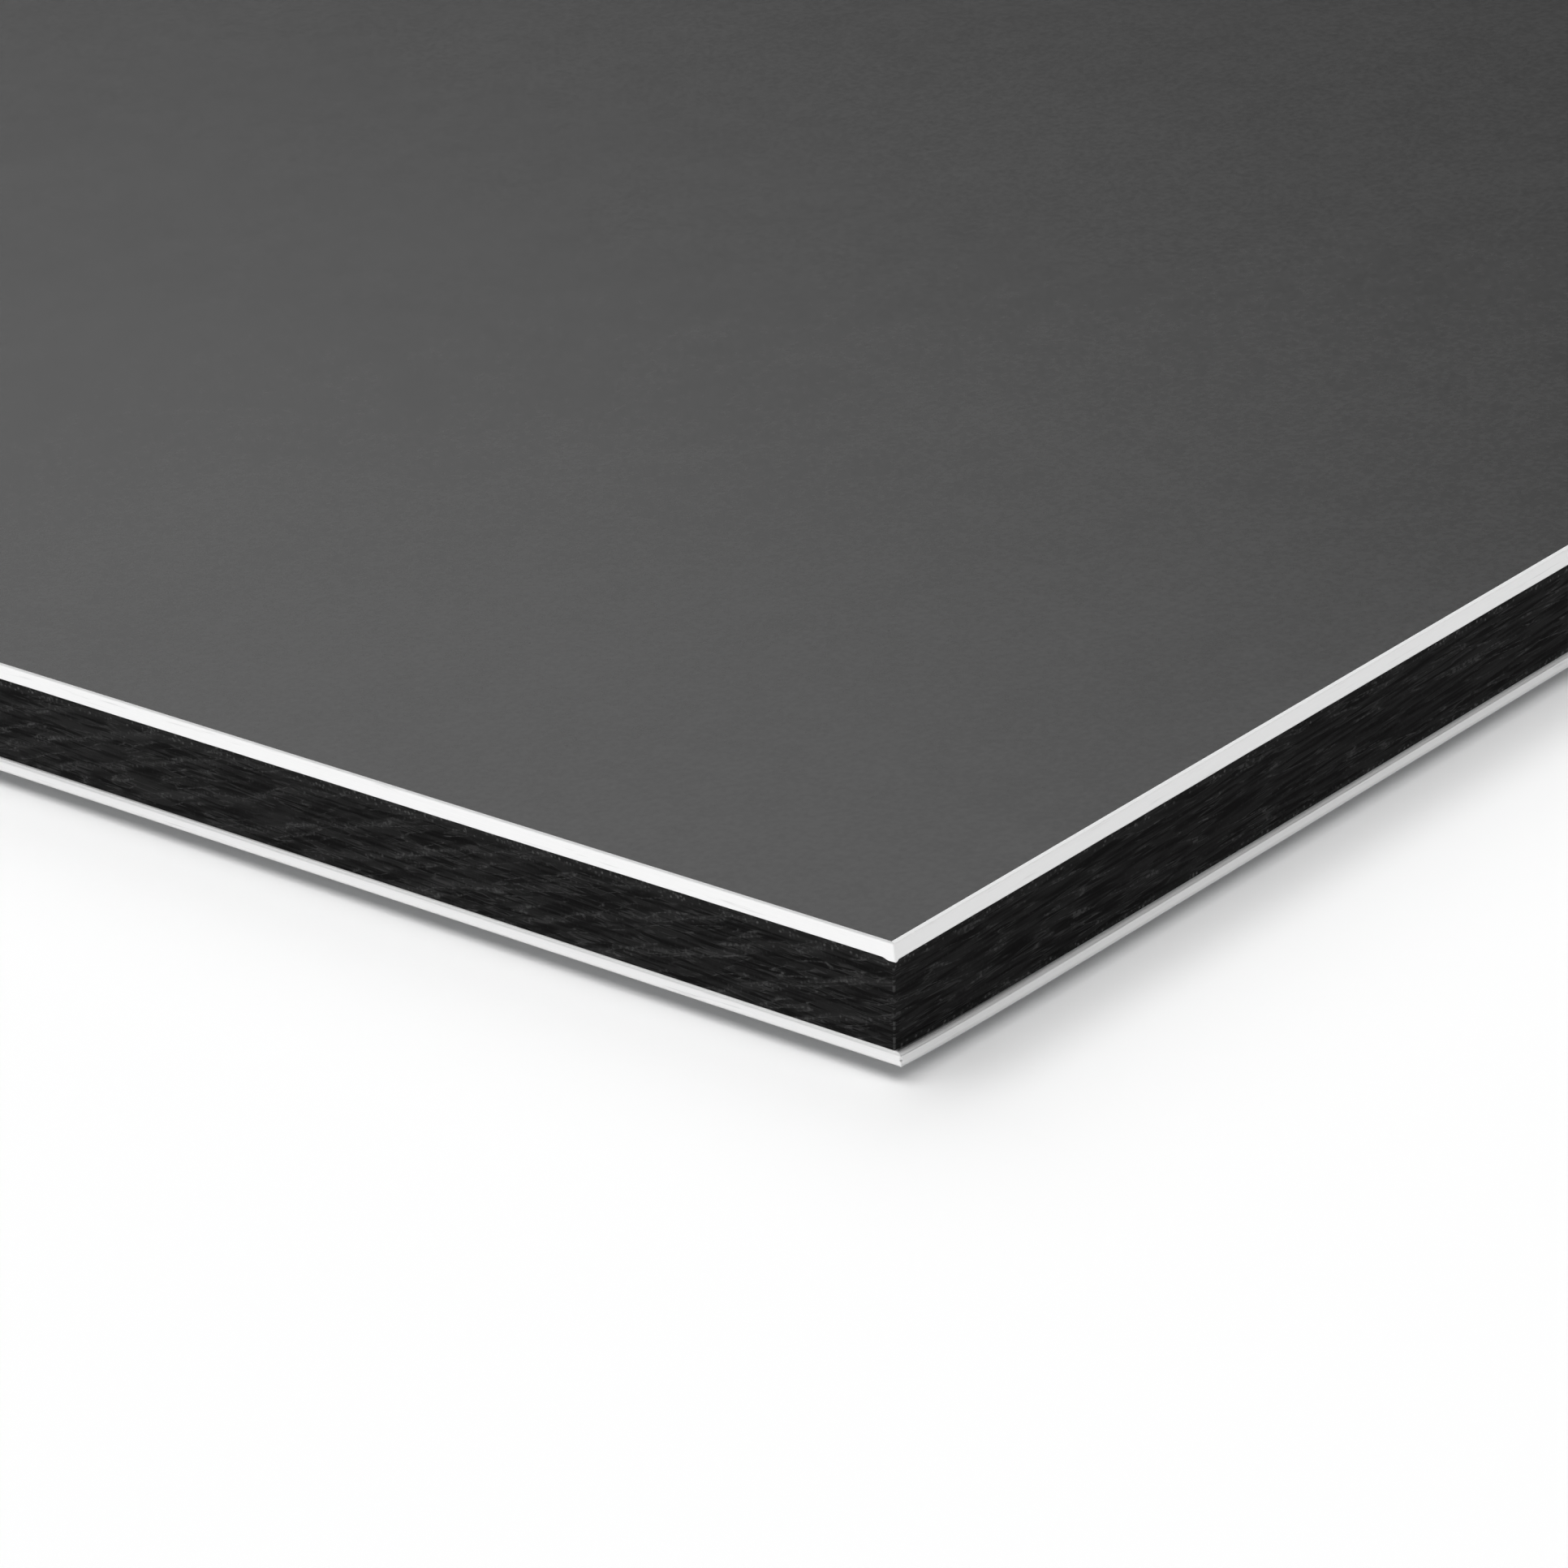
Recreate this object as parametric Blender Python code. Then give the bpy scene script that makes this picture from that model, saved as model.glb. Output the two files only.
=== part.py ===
"""Aluminium composite panel: a rectangular blank of three bonded layers.

A lacquered aluminium face sheet and a plain aluminium back sheet are bonded to a solid
plastic core. The panel lies flat with its lacquered face up.

Units are metres, +Z is up. The origin is the centre of the underside, +X runs along the
length and +Y across the width.
"""

from math import copysign

import bmesh
import bpy

# Outline of the blank
LENGTH = 0.300
WIDTH = 0.200

# Thickness of each layer
BACK_SHEET_THICKNESS = 0.0005
CORE_THICKNESS = 0.0030
FACE_SHEET_THICKNESS = 0.0005

# How far the cut core stops short of the metal all round
CORE_SET_BACK = 0.00024

# Cutting draws the rim of the face sheet down over the core, as a thin lip that just clears it
LIP_DROP = 0.00007
LIP_CLEARANCE = 0.00002

# Width of the bright flat where the upper rim of the face sheet is broken
FACE_ARRIS = 0.00008

# Cutting also rolls the lower rim of the back sheet under, to this radius
BACK_ROLL = 0.00015
BACK_ROLL_SEGMENTS = 4

# Heights of the planes where the layers meet. Each plane is one value, shared by both layers
CORE_BOTTOM = BACK_SHEET_THICKNESS
CORE_TOP = CORE_BOTTOM + CORE_THICKNESS
PANEL_TOP = CORE_TOP + FACE_SHEET_THICKNESS

# Outline of the core inside the two sheets
CORE_LENGTH = LENGTH - 2 * CORE_SET_BACK
CORE_WIDTH = WIDTH - 2 * CORE_SET_BACK

# Linear colour, metallic and roughness of each finish
LACQUER = ((0.105, 0.105, 0.106), 0.0, 0.45)
BARE_ALUMINIUM = ((0.80, 0.80, 0.81), 1.0, 0.38)
MILL_ALUMINIUM = ((0.70, 0.71, 0.72), 1.0, 0.42)
BLACK_PLASTIC = ((0.012, 0.012, 0.012), 0.0, 0.60)


def clear_scene():
    for obj in list(bpy.data.objects):
        bpy.data.objects.remove(obj, do_unlink=True)


def new_material(name, finish):
    colour, metallic, roughness = finish
    material = bpy.data.materials.new(name)
    material.use_nodes = True
    shader = material.node_tree.nodes["Principled BSDF"]
    shader.inputs["Base Color"].default_value = (*colour, 1.0)
    shader.inputs["Metallic"].default_value = metallic
    shader.inputs["Roughness"].default_value = roughness
    return material


def new_plate(length, width, z_low, z_high):
    """A flat rectangular plate, centred in plan, with its two faces at the given heights."""
    plate = bmesh.new()
    bmesh.ops.create_cube(plate, size=1.0)
    for vertex in plate.verts:
        z = z_high if vertex.co.z > 0 else z_low
        vertex.co = (vertex.co.x * length, vertex.co.y * width, z)
    return plate


def face_towards(plate, direction):
    """The plate's lowest face for direction -1, its highest for direction 1."""
    return max(plate.faces, key=lambda face: direction * face.calc_center_median().z)


def soften_rim(plate, direction, size, segments):
    """Rounds the four edges of the top or bottom face, or breaks them with one flat."""
    rim = list(face_towards(plate, direction).edges)
    bmesh.ops.bevel(
        plate, geom=rim, offset=size, segments=segments, profile=0.5, affect="EDGES"
    )


def seat_on_core(plate):
    """Leaves a thin lip round the underside, by lifting all inside it to the core's top plane."""
    seat = face_towards(plate, -1)
    bmesh.ops.inset_region(plate, faces=[seat], thickness=CORE_SET_BACK)
    for vertex in seat.verts:
        x = copysign(CORE_LENGTH / 2 + LIP_CLEARANCE, vertex.co.x)
        y = copysign(CORE_WIDTH / 2 + LIP_CLEARANCE, vertex.co.y)
        vertex.co = (x, y, CORE_TOP)


def finish_part(plate, name, material, collection):
    """Turns the plate into a named object with its material."""
    mesh = bpy.data.meshes.new(name)
    bmesh.ops.recalc_face_normals(plate, faces=plate.faces)
    plate.to_mesh(mesh)
    plate.free()
    mesh.materials.append(material)
    part = bpy.data.objects.new(name, mesh)
    collection.objects.link(part)
    return part


def make_back_sheet(collection):
    plate = new_plate(LENGTH, WIDTH, 0.0, CORE_BOTTOM)
    soften_rim(plate, -1, BACK_ROLL, BACK_ROLL_SEGMENTS)
    material = new_material("mill_aluminium", MILL_ALUMINIUM)
    return finish_part(plate, "back_sheet", material, collection)


def make_core(collection):
    plate = new_plate(CORE_LENGTH, CORE_WIDTH, CORE_BOTTOM, CORE_TOP)
    material = new_material("black_plastic", BLACK_PLASTIC)
    return finish_part(plate, "core", material, collection)


def make_face_sheet(collection):
    """The only sheet with two finishes: lacquer on its flat upper face, bare metal elsewhere."""
    plate = new_plate(LENGTH, WIDTH, CORE_TOP - LIP_DROP, PANEL_TOP)
    seat_on_core(plate)
    soften_rim(plate, 1, FACE_ARRIS, 1)
    sheet = finish_part(plate, "face_sheet", new_material("lacquer", LACQUER), collection)
    sheet.data.materials.append(new_material("bare_aluminium", BARE_ALUMINIUM))
    top = max(sheet.data.polygons, key=lambda polygon: polygon.center.z)
    for polygon in sheet.data.polygons:
        polygon.material_index = 0 if polygon.index == top.index else 1
    return sheet


def main():
    clear_scene()
    collection = bpy.data.collections.new("aluminium_composite_panel")
    bpy.context.scene.collection.children.link(collection)
    make_back_sheet(collection)
    make_core(collection)
    make_face_sheet(collection)


main()
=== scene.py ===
# %% [markdown]
# # A cut corner of aluminium composite panel
#
# The panel is three layers bonded face to face: a thin aluminium sheet with a dark grey satin
# lacquer, a thicker core of black polyethylene, and a second thin aluminium sheet that is left
# plain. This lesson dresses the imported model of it. The plain solids stay underneath as the
# frame, and each gets a skin with the fine shape that the saw leaves on the edge.
#
# Everything is in metres. The panel lies flat, +X runs along its length, +Y across its width
# and +Z up. The panel's nearest corner to the camera is at +X and -Y.

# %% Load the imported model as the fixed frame
from math import cos, pi, radians, sin

import bpy
import numpy as np
from mathutils import Matrix, Vector


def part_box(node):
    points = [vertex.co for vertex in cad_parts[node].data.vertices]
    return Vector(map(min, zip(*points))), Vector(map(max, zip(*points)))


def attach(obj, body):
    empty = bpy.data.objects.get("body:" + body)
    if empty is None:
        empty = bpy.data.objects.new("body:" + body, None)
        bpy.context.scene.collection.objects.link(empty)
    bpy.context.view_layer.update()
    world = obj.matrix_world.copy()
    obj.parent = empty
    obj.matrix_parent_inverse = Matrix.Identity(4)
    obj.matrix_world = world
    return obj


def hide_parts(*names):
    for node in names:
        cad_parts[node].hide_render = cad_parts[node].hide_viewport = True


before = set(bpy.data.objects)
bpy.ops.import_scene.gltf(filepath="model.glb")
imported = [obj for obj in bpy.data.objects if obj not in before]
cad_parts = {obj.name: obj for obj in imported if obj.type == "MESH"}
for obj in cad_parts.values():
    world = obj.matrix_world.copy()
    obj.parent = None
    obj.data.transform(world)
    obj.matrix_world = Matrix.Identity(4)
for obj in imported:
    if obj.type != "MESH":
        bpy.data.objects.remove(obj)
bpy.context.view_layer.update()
MM = 0.001

face_low, face_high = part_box("face_sheet")
core_low, core_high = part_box("core")
back_low, back_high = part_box("back_sheet")
print("nodes in the frame:", sorted(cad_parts))

# %% [markdown]
# ## Sizes that the skins share
#
# The outline and the heights of the layers come from the frame, so that a skin can't drift away
# from the solid it stands for. The lip and the core's set-back are worked out from the boxes too.
# What is left to write down is the fine shape of the cut, which a saw and a press leave behind:
# rims that are broken, rolled or drawn down by a tenth of a millimetre.

# %% Outline and heights
HALF_LENGTH = face_high.x
HALF_WIDTH = face_high.y
PANEL_TOP = face_high.z
CORE_TOP = core_high.z
CORE_BOTTOM = core_low.z
LIP_BOTTOM = face_low.z
CORE_SET_BACK = face_high.x - core_high.x
print("core in mm from", round(CORE_BOTTOM / MM, 3), "to", round(CORE_TOP / MM, 3))
print("core set back in mm:", round(CORE_SET_BACK / MM, 3))
print("back sheet in mm from", round(back_low.z / MM, 3), "to", round(back_high.z / MM, 3))

# %% [markdown]
# ## Camera
#
# The photograph was taken from close by with a long lens, looking down on one corner, with the
# camera rolled a few degrees. The place of the camera is given from the nearest bottom corner
# of the panel, and its direction by three angles. A rotation matrix whose columns are the
# camera's right, up and backward directions is plainer here than Euler angles, and it is exact.

# %% Camera
LENS = 145.77
CAMERA_FROM_CORNER = Vector((0.10763, -0.11104, 0.08027))
CAMERA_AZIMUTH = radians(45.03)
CAMERA_ELEVATION = radians(24.73)
CAMERA_ROLL = radians(-6.255)


def camera_axes(azimuth, elevation, roll):
    """Right, up and backward directions. Backward points from the object to the camera, right is
    level, up is their cross product, and the roll turns right and up about backward."""
    backward = Vector((sin(azimuth) * cos(elevation), -cos(azimuth) * cos(elevation), sin(elevation)))
    level = Vector((cos(azimuth), sin(azimuth), 0.0))
    upright = backward.cross(level)
    right = cos(roll) * level + sin(roll) * upright
    up = cos(roll) * upright - sin(roll) * level
    return right, up, backward


camera_data = bpy.data.cameras.new("camera")
camera_data.lens = LENS
camera_data.clip_start = 0.01
camera_data.clip_end = 200.0
camera = bpy.data.objects.new("camera", camera_data)
bpy.context.scene.collection.objects.link(camera)
axes = Matrix(camera_axes(CAMERA_AZIMUTH, CAMERA_ELEVATION, CAMERA_ROLL)).transposed()
near_corner = Vector((HALF_LENGTH, -HALF_WIDTH, 0.0))
camera.matrix_world = Matrix.Translation(near_corner + CAMERA_FROM_CORNER) @ axes.to_4x4()
bpy.context.scene.camera = camera
print("camera is", round(CAMERA_FROM_CORNER.length / MM, 1), "mm from the corner")

# %% [markdown]
# ## A profile carried round a rectangle
#
# All three layers are the same kind of surface: one profile of the edge, carried round the
# outline with mitred corners. On a computer this is a grid of points. One direction counts round
# the outline and the other runs down the profile. The outline is a square loop from -1 to 1,
# and each row of the profile scales it by the panel's half sizes less that row's inset, which
# gives sharp mitres by itself.
#
# The fine marks are smallest near the corners, so the points are closer together there. A sine
# alone crowds them too much, and a straight run not at all, so the two are mixed.

# %% Points round the outline
CROWDING = 0.88
SHEET_STEPS = (608, 400)
CORE_STEPS = (752, 496)


def crowded(steps):
    """Places from -1 to 1: a straight run mixed with a quarter sine to either side."""
    even = np.linspace(-1.0, 1.0, steps + 1)
    return (1.0 - CROWDING) * even + CROWDING * np.sin(even * pi / 2)


def square_loop(steps):
    """The unit square's outline, anticlockwise from (-1, -1), as one array of x and y."""
    along_x, along_y = crowded(steps[0])[:-1], crowded(steps[1])[:-1]
    near = np.stack([along_x, -np.ones_like(along_x)], axis=1)
    right = np.stack([np.ones_like(along_y), along_y], axis=1)
    return np.concatenate([near, right, -near, -right])


def along_outline(loop):
    """How far round the outline each point is, from 0 to 1: the running sum of the chords."""
    points = loop * (HALF_LENGTH, HALF_WIDTH)
    chords = np.linalg.norm(np.roll(points, -1, axis=0) - points, axis=1)
    return np.concatenate([[0.0], np.cumsum(chords)[:-1]]) / chords.sum()


def from_corner(loop):
    """Distance in metres from each point of the outline to the end of its side."""
    gaps = (1.0 - np.abs(loop)) * (HALF_LENGTH, HALF_WIDTH)
    return gaps.max(axis=1)


def on_end(loop):
    """1 on the two short ends and 0 on the two long sides."""
    return (np.abs(loop[:, 0]) > 1.0 - 1e-9).astype(float)


sheet_loop = square_loop(SHEET_STEPS)
core_loop = square_loop(CORE_STEPS)
print("points round a sheet and the core:", len(sheet_loop), len(core_loop))

# %% [markdown]
# ## Profiles
#
# A profile is a list of points. Each has three numbers: its inset from the two short ends, its
# inset from the two long sides, and its height. The saw ran along the ends and the sides in
# separate cuts, so the two insets can differ. Straight stretches need few points, and round ones
# are arcs. Inset grows inwards, so an arc's angle of 0 points outwards, 90 up and -90 down.

# %% Pieces of a profile


def arc(centre, radius, start, stop, count):
    """A round stretch: the centre, moved by the radius times the cosine outwards and sine up."""
    angle = np.radians(np.linspace(start, stop, count))
    out, up = radius * np.cos(angle), radius * np.sin(angle)
    return np.stack([centre[0] - out, centre[1] - out, centre[2] + up], axis=1)


def straight(start, stop, count):
    """An even run of points from start to stop, both of them included."""
    return np.linspace(start, stop, count)


def ease(value, low, high):
    """0 below low, 1 above high, and a smooth cubic between them."""
    t = np.clip((value - low) / (high - low), 0.0, 1.0)
    return t * t * (3.0 - 2.0 * t)


def bell(value, centre, width):
    """1 at the centre, fading with the square of the distance over the width."""
    return np.exp(-(((value - centre) / width) ** 2))


# %% [markdown]
# ## Unevenness
#
# A cut edge isn't random from point to point: it wanders. So the random numbers sit on a coarse
# lattice and are blended smoothly between its points. The lattice wraps round, so the wander
# closes on itself after one turn of the outline. Every table of random numbers has its own seed,
# and gives the same edge each run.

# %% Smooth random wander


def wander(along, across, cells, seed):
    """Values from -1 to 1. The lattice has that many cells round the outline, and across counts
    cells itself. Between lattice points the four nearest numbers are blended with a cubic."""
    bands = 257
    table = np.random.default_rng(seed).uniform(-1.0, 1.0, (cells, bands))
    column, row = np.floor(along * cells).astype(int), np.floor(across).astype(int)
    s, t = along * cells - column, across - row
    s, t = s * s * (3.0 - 2.0 * s), t * t * (3.0 - 2.0 * t)
    left, right = column % cells, (column + 1) % cells
    low, high = row % bands, (row + 1) % bands
    lower = table[left, low] * (1.0 - s) + table[right, low] * s
    upper = table[left, high] * (1.0 - s) + table[right, high] * s
    return lower * (1.0 - t) + upper * t


# %% [markdown]
# ## From rows of points to a closed mesh
#
# The rows of the profile make the edge. The flat top and underside need far fewer points than
# the edge does, so each is filled from the rim inwards: rings with half as many points each
# time, three triangles to a pair of steps, and then a coarse grid.
#
# The mesh also gets its own UV map for baking. Most of the detail is on the edges, which are
# long and very thin. They are cut into strips that fill the picture from side to side, and the
# flat faces get a rectangle each.

# %% Rings, caps and the finished mesh
RING_INSETS = (0.7 * MM, 2.0 * MM, 4.5 * MM, 9.0 * MM)
STRIPS = 16
UV_MARGIN = 0.012


def carried(loop, end_inset, side_inset, height):
    """Carries the rows round the outline: the loop times the half sizes less the insets."""
    x = (HALF_LENGTH - end_inset) * loop[:, 0]
    y = (HALF_WIDTH - side_inset) * loop[:, 1]
    return np.stack([x, y, np.broadcast_to(height, x.shape)], axis=-1)


def edge_quads(rows, count):
    """Four-sided faces between each row and the next, facing away from the panel's middle."""
    index = np.arange(rows * count).reshape(rows, count)
    after = np.roll(index, -1, axis=1)
    return np.stack([index[:-1], index[1:], after[1:], after[:-1]], axis=-1).reshape(-1, 4)


def halving(outer, inner):
    """Three triangles for each two steps of the outer ring and one step of the inner ring."""
    first, middle = outer[0::2], outer[1::2]
    last, near, far = np.roll(first, -1), inner, np.roll(inner, -1)
    fan = [(first, middle, near), (middle, far, near), (middle, last, far)]
    return np.concatenate([np.stack(three, axis=-1) for three in fan])


def cap(loop, steps, rim, rim_point, start):
    """Fills a flat face inside a rim. Gives its new points, triangles and four-sided faces."""
    points, triangles, ring = [], [], rim
    end_inset, side_inset, height = rim_point
    for level, inset in enumerate(RING_INSETS, start=1):
        sparse = loop[:: 2**level]
        inner = start + np.arange(len(sparse))
        points.append(carried(sparse, end_inset + inset, side_inset + inset, height))
        triangles.append(halving(ring, inner))
        start, ring = start + len(sparse), inner
    coarse = 2 ** len(RING_INSETS)
    across, deep = steps[0] // coarse, steps[1] // coarse
    grid = np.zeros((deep + 1, across + 1), int)
    corners = np.cumsum([0, across, deep, across, deep])
    grid[0, :-1] = ring[: corners[1]]
    grid[:-1, -1] = ring[corners[1] : corners[2]]
    grid[-1, :0:-1] = ring[corners[2] : corners[3]]
    grid[:0:-1, 0] = ring[corners[3] :]
    inside = [crowded(steps[1])[coarse:-coarse:coarse], crowded(steps[0])[coarse:-coarse:coarse]]
    v, u = np.meshgrid(*inside, indexing="ij")
    grid[1:-1, 1:-1] = start + np.arange(u.size).reshape(u.shape)
    flat = np.stack([u.ravel(), v.ravel()], axis=1)
    points.append(carried(flat, end_inset + RING_INSETS[-1], side_inset + RING_INSETS[-1], height))
    cells = np.stack([grid[:-1, :-1], grid[:-1, 1:], grid[1:, 1:], grid[1:, :-1]], axis=-1)
    return np.concatenate(points), np.concatenate(triangles), cells.reshape(-1, 4)


# %% UV map for baking


def strip_uv(rows, count, profile, strip_height):
    """The edge is cut into strips of equal length. Along a strip is U, and down the profile V."""
    per_strip = count // STRIPS
    steps_down = np.linalg.norm(np.diff(profile[:, 1:], axis=0), axis=1)
    down = np.concatenate([[0.0], np.cumsum(steps_down)])
    down = down / down[-1]
    strip, place = np.divmod(np.arange(count), per_strip)
    u = UV_MARGIN + (1.0 - 2 * UV_MARGIN) * np.stack([place, place + 1], axis=-1) / per_strip
    top = 1.0 - strip * strip_height
    used = 0.9 * strip_height
    upper = np.broadcast_to(top - used * down[:-1, None], (rows - 1, count))
    lower = np.broadcast_to(top - used * down[1:, None], (rows - 1, count))
    begin = np.broadcast_to(u[:, 0], (rows - 1, count))
    end = np.broadcast_to(u[:, 1], (rows - 1, count))
    corners = [(begin, upper), (begin, lower), (end, lower), (end, upper)]
    return np.stack([np.stack(pair, axis=-1) for pair in corners], axis=-2).reshape(-1, 2)


def flat_uv(points, corner, size):
    """Lays a flat face in a rectangle: X and Y over the panel's sides, from its lower corner."""
    share = points[:, :2] / (2 * HALF_LENGTH, 2 * HALF_WIDTH) + 0.5
    return np.array(corner) + share * np.array(size)


def closed_plate(name, loop, steps, profile, rows_of_points, strip_height, top_place, under_place):
    """Makes the object: the edge, a cap above and a cap below, its UV map and smooth shading."""
    rows, count = rows_of_points.shape[:2]
    index = np.arange(rows * count).reshape(rows, count)
    edge = rows_of_points.reshape(-1, 3)
    quads = edge_quads(rows, count)
    top, top_fans, top_cells = cap(loop, steps, index[0], profile[0], len(edge))
    under, fans, cells = cap(loop, steps, index[-1], profile[-1], len(edge) + len(top))
    points = np.concatenate([edge, top, under])
    flats = [(top_fans, top_place), (top_cells, top_place)]
    flats += [(fans[:, ::-1], under_place), (cells[:, ::-1], under_place)]
    faces = quads.tolist()
    uv = [strip_uv(rows, count, profile, strip_height)]
    for group, place in flats:
        faces += group.tolist()
        uv.append(flat_uv(points[group.ravel()], *place))
    mesh = bpy.data.meshes.new(name)
    mesh.from_pydata(points, [], faces)
    layer = mesh.uv_layers.new(name="OFBake")
    layer.data.foreach_set("uv", np.concatenate(uv).ravel())
    mesh.shade_smooth()
    mesh.set_sharp_from_angle(angle=radians(32))
    mesh.validate()
    piece = bpy.data.objects.new(name, mesh)
    bpy.context.scene.collection.objects.link(piece)
    print(name, "has", sum(len(face) - 2 for face in faces), "triangles")
    return piece


def add_measure(piece, name, values):
    """Stores one number for each point of the mesh, for a material to read."""
    attribute = piece.data.attributes.new(name, "FLOAT", "POINT")
    whole = np.zeros(len(piece.data.vertices), np.float32)
    whole[: values.size] = values.ravel()
    attribute.data.foreach_set("value", whole)


# %% [markdown]
# ## How the cut draws in at a corner
#
# Where the saw leaves the panel at a corner, the blade wanders in by a fifth of a millimetre at
# the foot of the end face, and not at all at the face sheet. All three layers were cut in one
# pass, so they share this. It is strongest at the corner and dies away along the edge.

# %% Drawn corners
CORNER_DRAW = 0.20 * MM
CORNER_DRAW_LENGTH = 2.2 * MM


def corner_draw(to_end, height):
    """Extra inset of the ends: full at the foot, none at the lip, fading along the edge."""
    lowness = np.clip(1.0 - height / LIP_BOTTOM, 0.0, 1.0)
    return CORNER_DRAW * lowness * np.exp(-to_end / CORNER_DRAW_LENGTH)


# %% [markdown]
# ## Face sheet
#
# The saw breaks the sheet's upper rim to a bright narrow flat, wide on the ends and hardly there
# on the long sides, and draws its lower rim down over the core as a thin lip. The edge between
# them is almost straight, with one shallow groove along it. At the nearest corner a small tooth
# of metal hangs from the lip. All of this is one profile with a little wander added to it.
#
# The broken rim is torn and not cut, so it is matt. Its points carry a measure named "matt", which
# the metal's finish reads later on.

# %% Face sheet
END_ARRIS = 0.080 * MM
SIDE_ARRIS = 0.006 * MM
ARRIS_DROP = 0.050 * MM
LIP_ROUND = 0.035 * MM
LIP_REACH = CORE_SET_BACK - 0.090 * MM
GROOVE_HEIGHT = PANEL_TOP - 0.17 * MM
GROOVE_DEPTH = 0.005 * MM
ARRIS_WANDER = 0.006 * MM
LIP_WANDER = 0.010 * MM
LIP_SAG = 0.020 * MM
TOOTH_DROP = 0.075 * MM
TOOTH_REACH = (0.10 * MM, 0.50 * MM)


def face_sheet_profile():
    """Broken rim, straight edge, round lip, slope up to the seat."""
    rim = straight((END_ARRIS, SIDE_ARRIS, PANEL_TOP), (0.0, 0.0, PANEL_TOP - ARRIS_DROP), 4)
    edge_top, edge_foot = PANEL_TOP - 1.8 * ARRIS_DROP, LIP_BOTTOM + 1.5 * LIP_ROUND
    edge = straight((0.0, 0.0, edge_top), (0.0, 0.0, edge_foot), 10)
    lip = arc((LIP_ROUND, LIP_ROUND, LIP_BOTTOM + LIP_ROUND), LIP_ROUND, 0, -90, 5)
    under = LIP_BOTTOM + 0.01 * MM
    seat = straight((0.5 * LIP_REACH, 0.5 * LIP_REACH, under), (LIP_REACH, LIP_REACH, CORE_TOP), 3)
    return np.concatenate([rim, edge, lip, seat])


def make_face_skin():
    """The edge of the sheet, with its groove, wander and tooth, closed by two flat faces."""
    profile = face_sheet_profile()
    along = along_outline(sheet_loop)
    to_end = from_corner(sheet_loop)
    still = 0.0 * along
    end_inset, side_inset, height = (profile[:, [column]] + still for column in range(3))

    hidden = ease(side_inset, 0.3 * LIP_REACH, 0.5 * LIP_REACH)
    at_lip = (1.0 - hidden) * ease(-height, -LIP_BOTTOM - 0.09 * MM, -LIP_BOTTOM - 0.02 * MM)
    sag = 0.6 * wander(along, still, 190, seed=11) + 0.4 * wander(along, still, 900, seed=12)
    nearest = (sheet_loop[:, 0] > 0) & (sheet_loop[:, 1] < 0)
    reach = np.where(on_end(sheet_loop) > 0.5, *TOOTH_REACH)
    ragged = 1.0 + 0.3 * wander(along, still, 4200, seed=15)
    tooth = TOOTH_DROP * ragged * (1.0 - ease(to_end / reach, 0.55, 1.0)) * nearest
    height = height + at_lip * (LIP_WANDER * sag - LIP_SAG - tooth)

    groove = GROOVE_DEPTH * bell(height, GROOVE_HEIGHT, 0.045 * MM)
    groove = groove * (1.0 + 0.6 * wander(along, still, 260, seed=14))
    on_rim = bell(height, PANEL_TOP - ARRIS_DROP, 0.02 * MM) * (height < PANEL_TOP - 1e-6)
    drop = ARRIS_WANDER * (1.0 + wander(along, still, 420, seed=13))
    end_inset, side_inset = end_inset + groove, side_inset + groove
    rows_of_points = carried(sheet_loop, end_inset, side_inset, height - on_rim * drop)

    skin = closed_plate(
        "face_sheet_skin",
        sheet_loop,
        SHEET_STEPS,
        profile,
        rows_of_points,
        strip_height=0.028,
        top_place=((0.02, 0.02), (0.75, 0.50)),
        under_place=((0.80, 0.02), (0.18, 0.12)),
    )
    # 1 on the ends, where the cut metal's colour gets painted shade.
    add_measure(skin, "darker_share", np.broadcast_to(on_end(sheet_loop), height.shape))
    rim_foot = PANEL_TOP - ARRIS_DROP
    matt = ease(profile[:, [2]], rim_foot - 0.6 * ARRIS_DROP, rim_foot - 0.1 * ARRIS_DROP)
    add_measure(skin, "matt", matt + still)
    return skin


face_skin = make_face_skin()

# %% [markdown]
# ## Core
#
# Polyethylene doesn't cut cleanly. The saw drags it into soft fibres that lie along the edge and
# rise a little across it, and it springs back behind the metal, a little further on the ends
# than on the sides. The fibres are far longer than they are high, so the wander is stretched
# along the edge and leans with height. The finest ones are left to the material.
#
# The cut isn't quite square. The core's foot stands out further than its top, except next to the
# corner on the ends, where it stays back. This is seen as a change in the width of the ledge.

# %% Core
CORE_ROWS = 31
END_SET_BACK = CORE_SET_BACK - 0.030 * MM
SIDE_SET_BACK = CORE_SET_BACK - 0.075 * MM
CORE_RELIEF = 0.022 * MM
GLUE_GROOVE = 0.03 * MM
FOOT_GROOVE = 0.01 * MM
FIBRE_LEAN = (0.08, 0.10)
CORNER_RAG = 0.02 * MM
END_FOOT_OUT = 0.065 * MM
END_FOOT_BACK = (0.15 * MM, 7.0 * MM)
SIDE_FOOT_OUT = (0.09 * MM, 28.0 * MM)


def leaned(loop, height):
    """Height of a point less the lean of the fibres there, in metres."""
    x, y = loop[:, 0] * HALF_LENGTH, loop[:, 1] * HALF_WIDTH
    return height - FIBRE_LEAN[0] * x - FIBRE_LEAN[1] * y


def foot_shift(to_end, height):
    """How far the ends and the sides stand out, in metres: full at the foot, nothing at the lip."""
    lowness = np.clip(1.0 - (height - CORE_BOTTOM) / (LIP_BOTTOM - CORE_BOTTOM), 0.0, 1.0)
    end = END_FOOT_OUT - END_FOOT_BACK[0] * np.exp(-to_end / END_FOOT_BACK[1])
    side = SIDE_FOOT_OUT[0] * bell(to_end, 0.0, SIDE_FOOT_OUT[1])
    return end * lowness, side * lowness


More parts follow.
